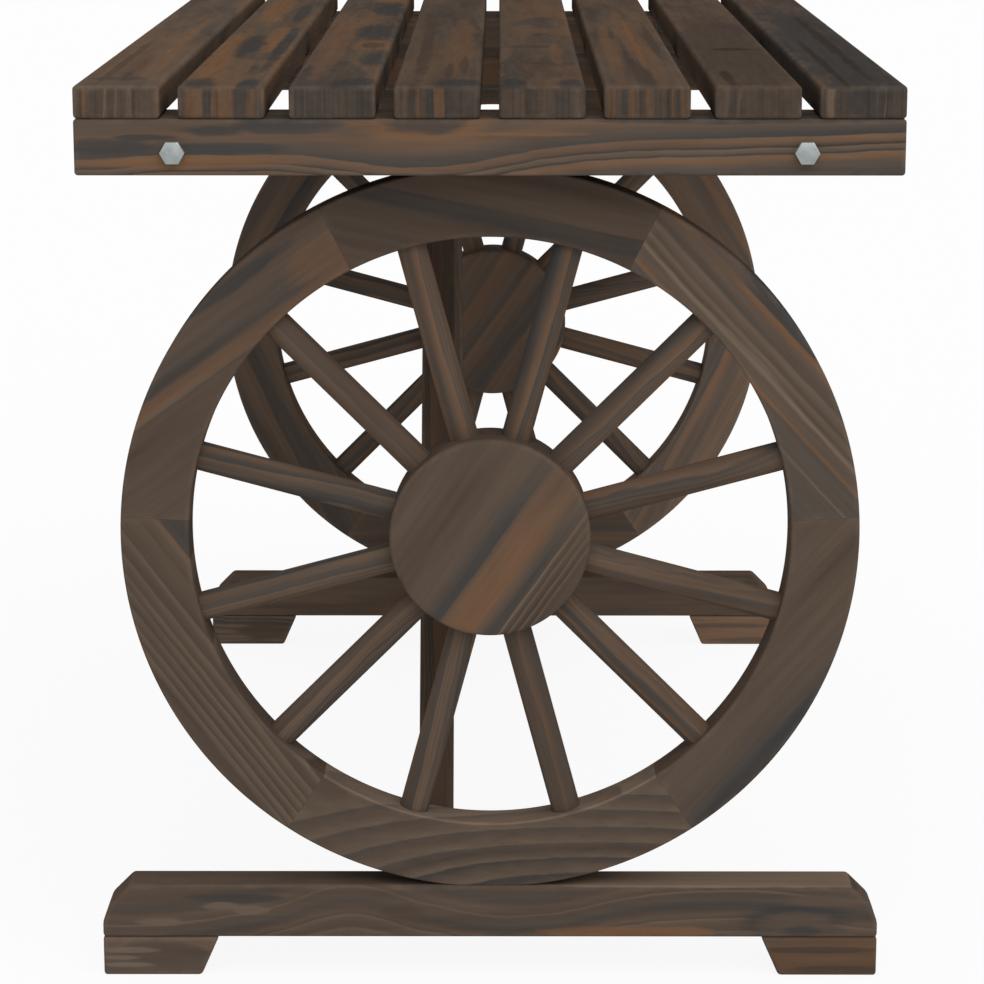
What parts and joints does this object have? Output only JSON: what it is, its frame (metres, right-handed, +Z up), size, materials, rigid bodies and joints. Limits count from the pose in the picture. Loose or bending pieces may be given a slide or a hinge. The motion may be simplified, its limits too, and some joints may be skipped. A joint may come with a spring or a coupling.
{
  "type": "garden table",
  "caption": "Low slatted garden table in dark stained fir, carried at each end by a spoked wooden wagon wheel that stands on a foot beam, with diagonal braces below.",
  "frame": {"origin": "on the floor under the middle of the table", "axes": "+Z up, +Y along the slats from the front end to the rear end, +X across the slats"},
  "size_m": [0.5, 0.9106, 0.575],
  "materials": {
    "slat_wood": "smoked satin stain",
    "beam_wood": "smoked satin stain",
    "wheel_wood": "smoked satin stain",
    "dowel_wood": "bare",
    "zinc_steel": "bright zinc"
  },
  "bodies": {
    "root": {"bolt_washers": "zinc_steel", "felloe_dowels": "dowel_wood", "foot_pads": "beam_wood", "front_apron": "beam_wood", "front_brace": "beam_wood", "front_cross_rail": "beam_wood", "front_felloe_bottom": "wheel_wood", "front_felloe_lower_left": "wheel_wood", "front_felloe_lower_right": "wheel_wood", "front_felloe_top": "wheel_wood", "front_felloe_upper_left": "wheel_wood", "front_felloe_upper_right": "wheel_wood", "front_foot_beam": "beam_wood", "front_hub": "wheel_wood", "front_spoke_01": "wheel_wood", "front_spoke_02": "wheel_wood", "front_spoke_03": "wheel_wood", "front_spoke_04": "wheel_wood", "front_spoke_05": "wheel_wood", "front_spoke_06": "wheel_wood", "front_spoke_07": "wheel_wood", "front_spoke_08": "wheel_wood", "front_spoke_09": "wheel_wood", "front_spoke_10": "wheel_wood", "front_spoke_11": "wheel_wood", "front_spoke_12": "wheel_wood", "hex_bolts_and_nuts": "zinc_steel", "middle_batten": "beam_wood", "rear_apron": "beam_wood", "rear_brace": "beam_wood", "rear_cross_rail": "beam_wood", "rear_felloe_bottom": "wheel_wood", "rear_felloe_lower_left": "wheel_wood", "rear_felloe_lower_right": "wheel_wood", "rear_felloe_top": "wheel_wood", "rear_felloe_upper_left": "wheel_wood", "rear_felloe_upper_right": "wheel_wood", "rear_foot_beam": "beam_wood", "rear_hub": "wheel_wood", "rear_spoke_01": "wheel_wood", "rear_spoke_02": "wheel_wood", "rear_spoke_03": "wheel_wood", "rear_spoke_04": "wheel_wood", "rear_spoke_05": "wheel_wood", "rear_spoke_06": "wheel_wood", "rear_spoke_07": "wheel_wood", "rear_spoke_08": "wheel_wood", "rear_spoke_09": "wheel_wood", "rear_spoke_10": "wheel_wood", "rear_spoke_11": "wheel_wood", "rear_spoke_12": "wheel_wood", "slat_1": "slat_wood", "slat_2": "slat_wood", "slat_3": "slat_wood", "slat_4": "slat_wood", "slat_5": "slat_wood", "slat_6": "slat_wood", "slat_7": "slat_wood", "slat_8": "slat_wood", "wood_screws": "zinc_steel"}
  },
  "joints": []
}
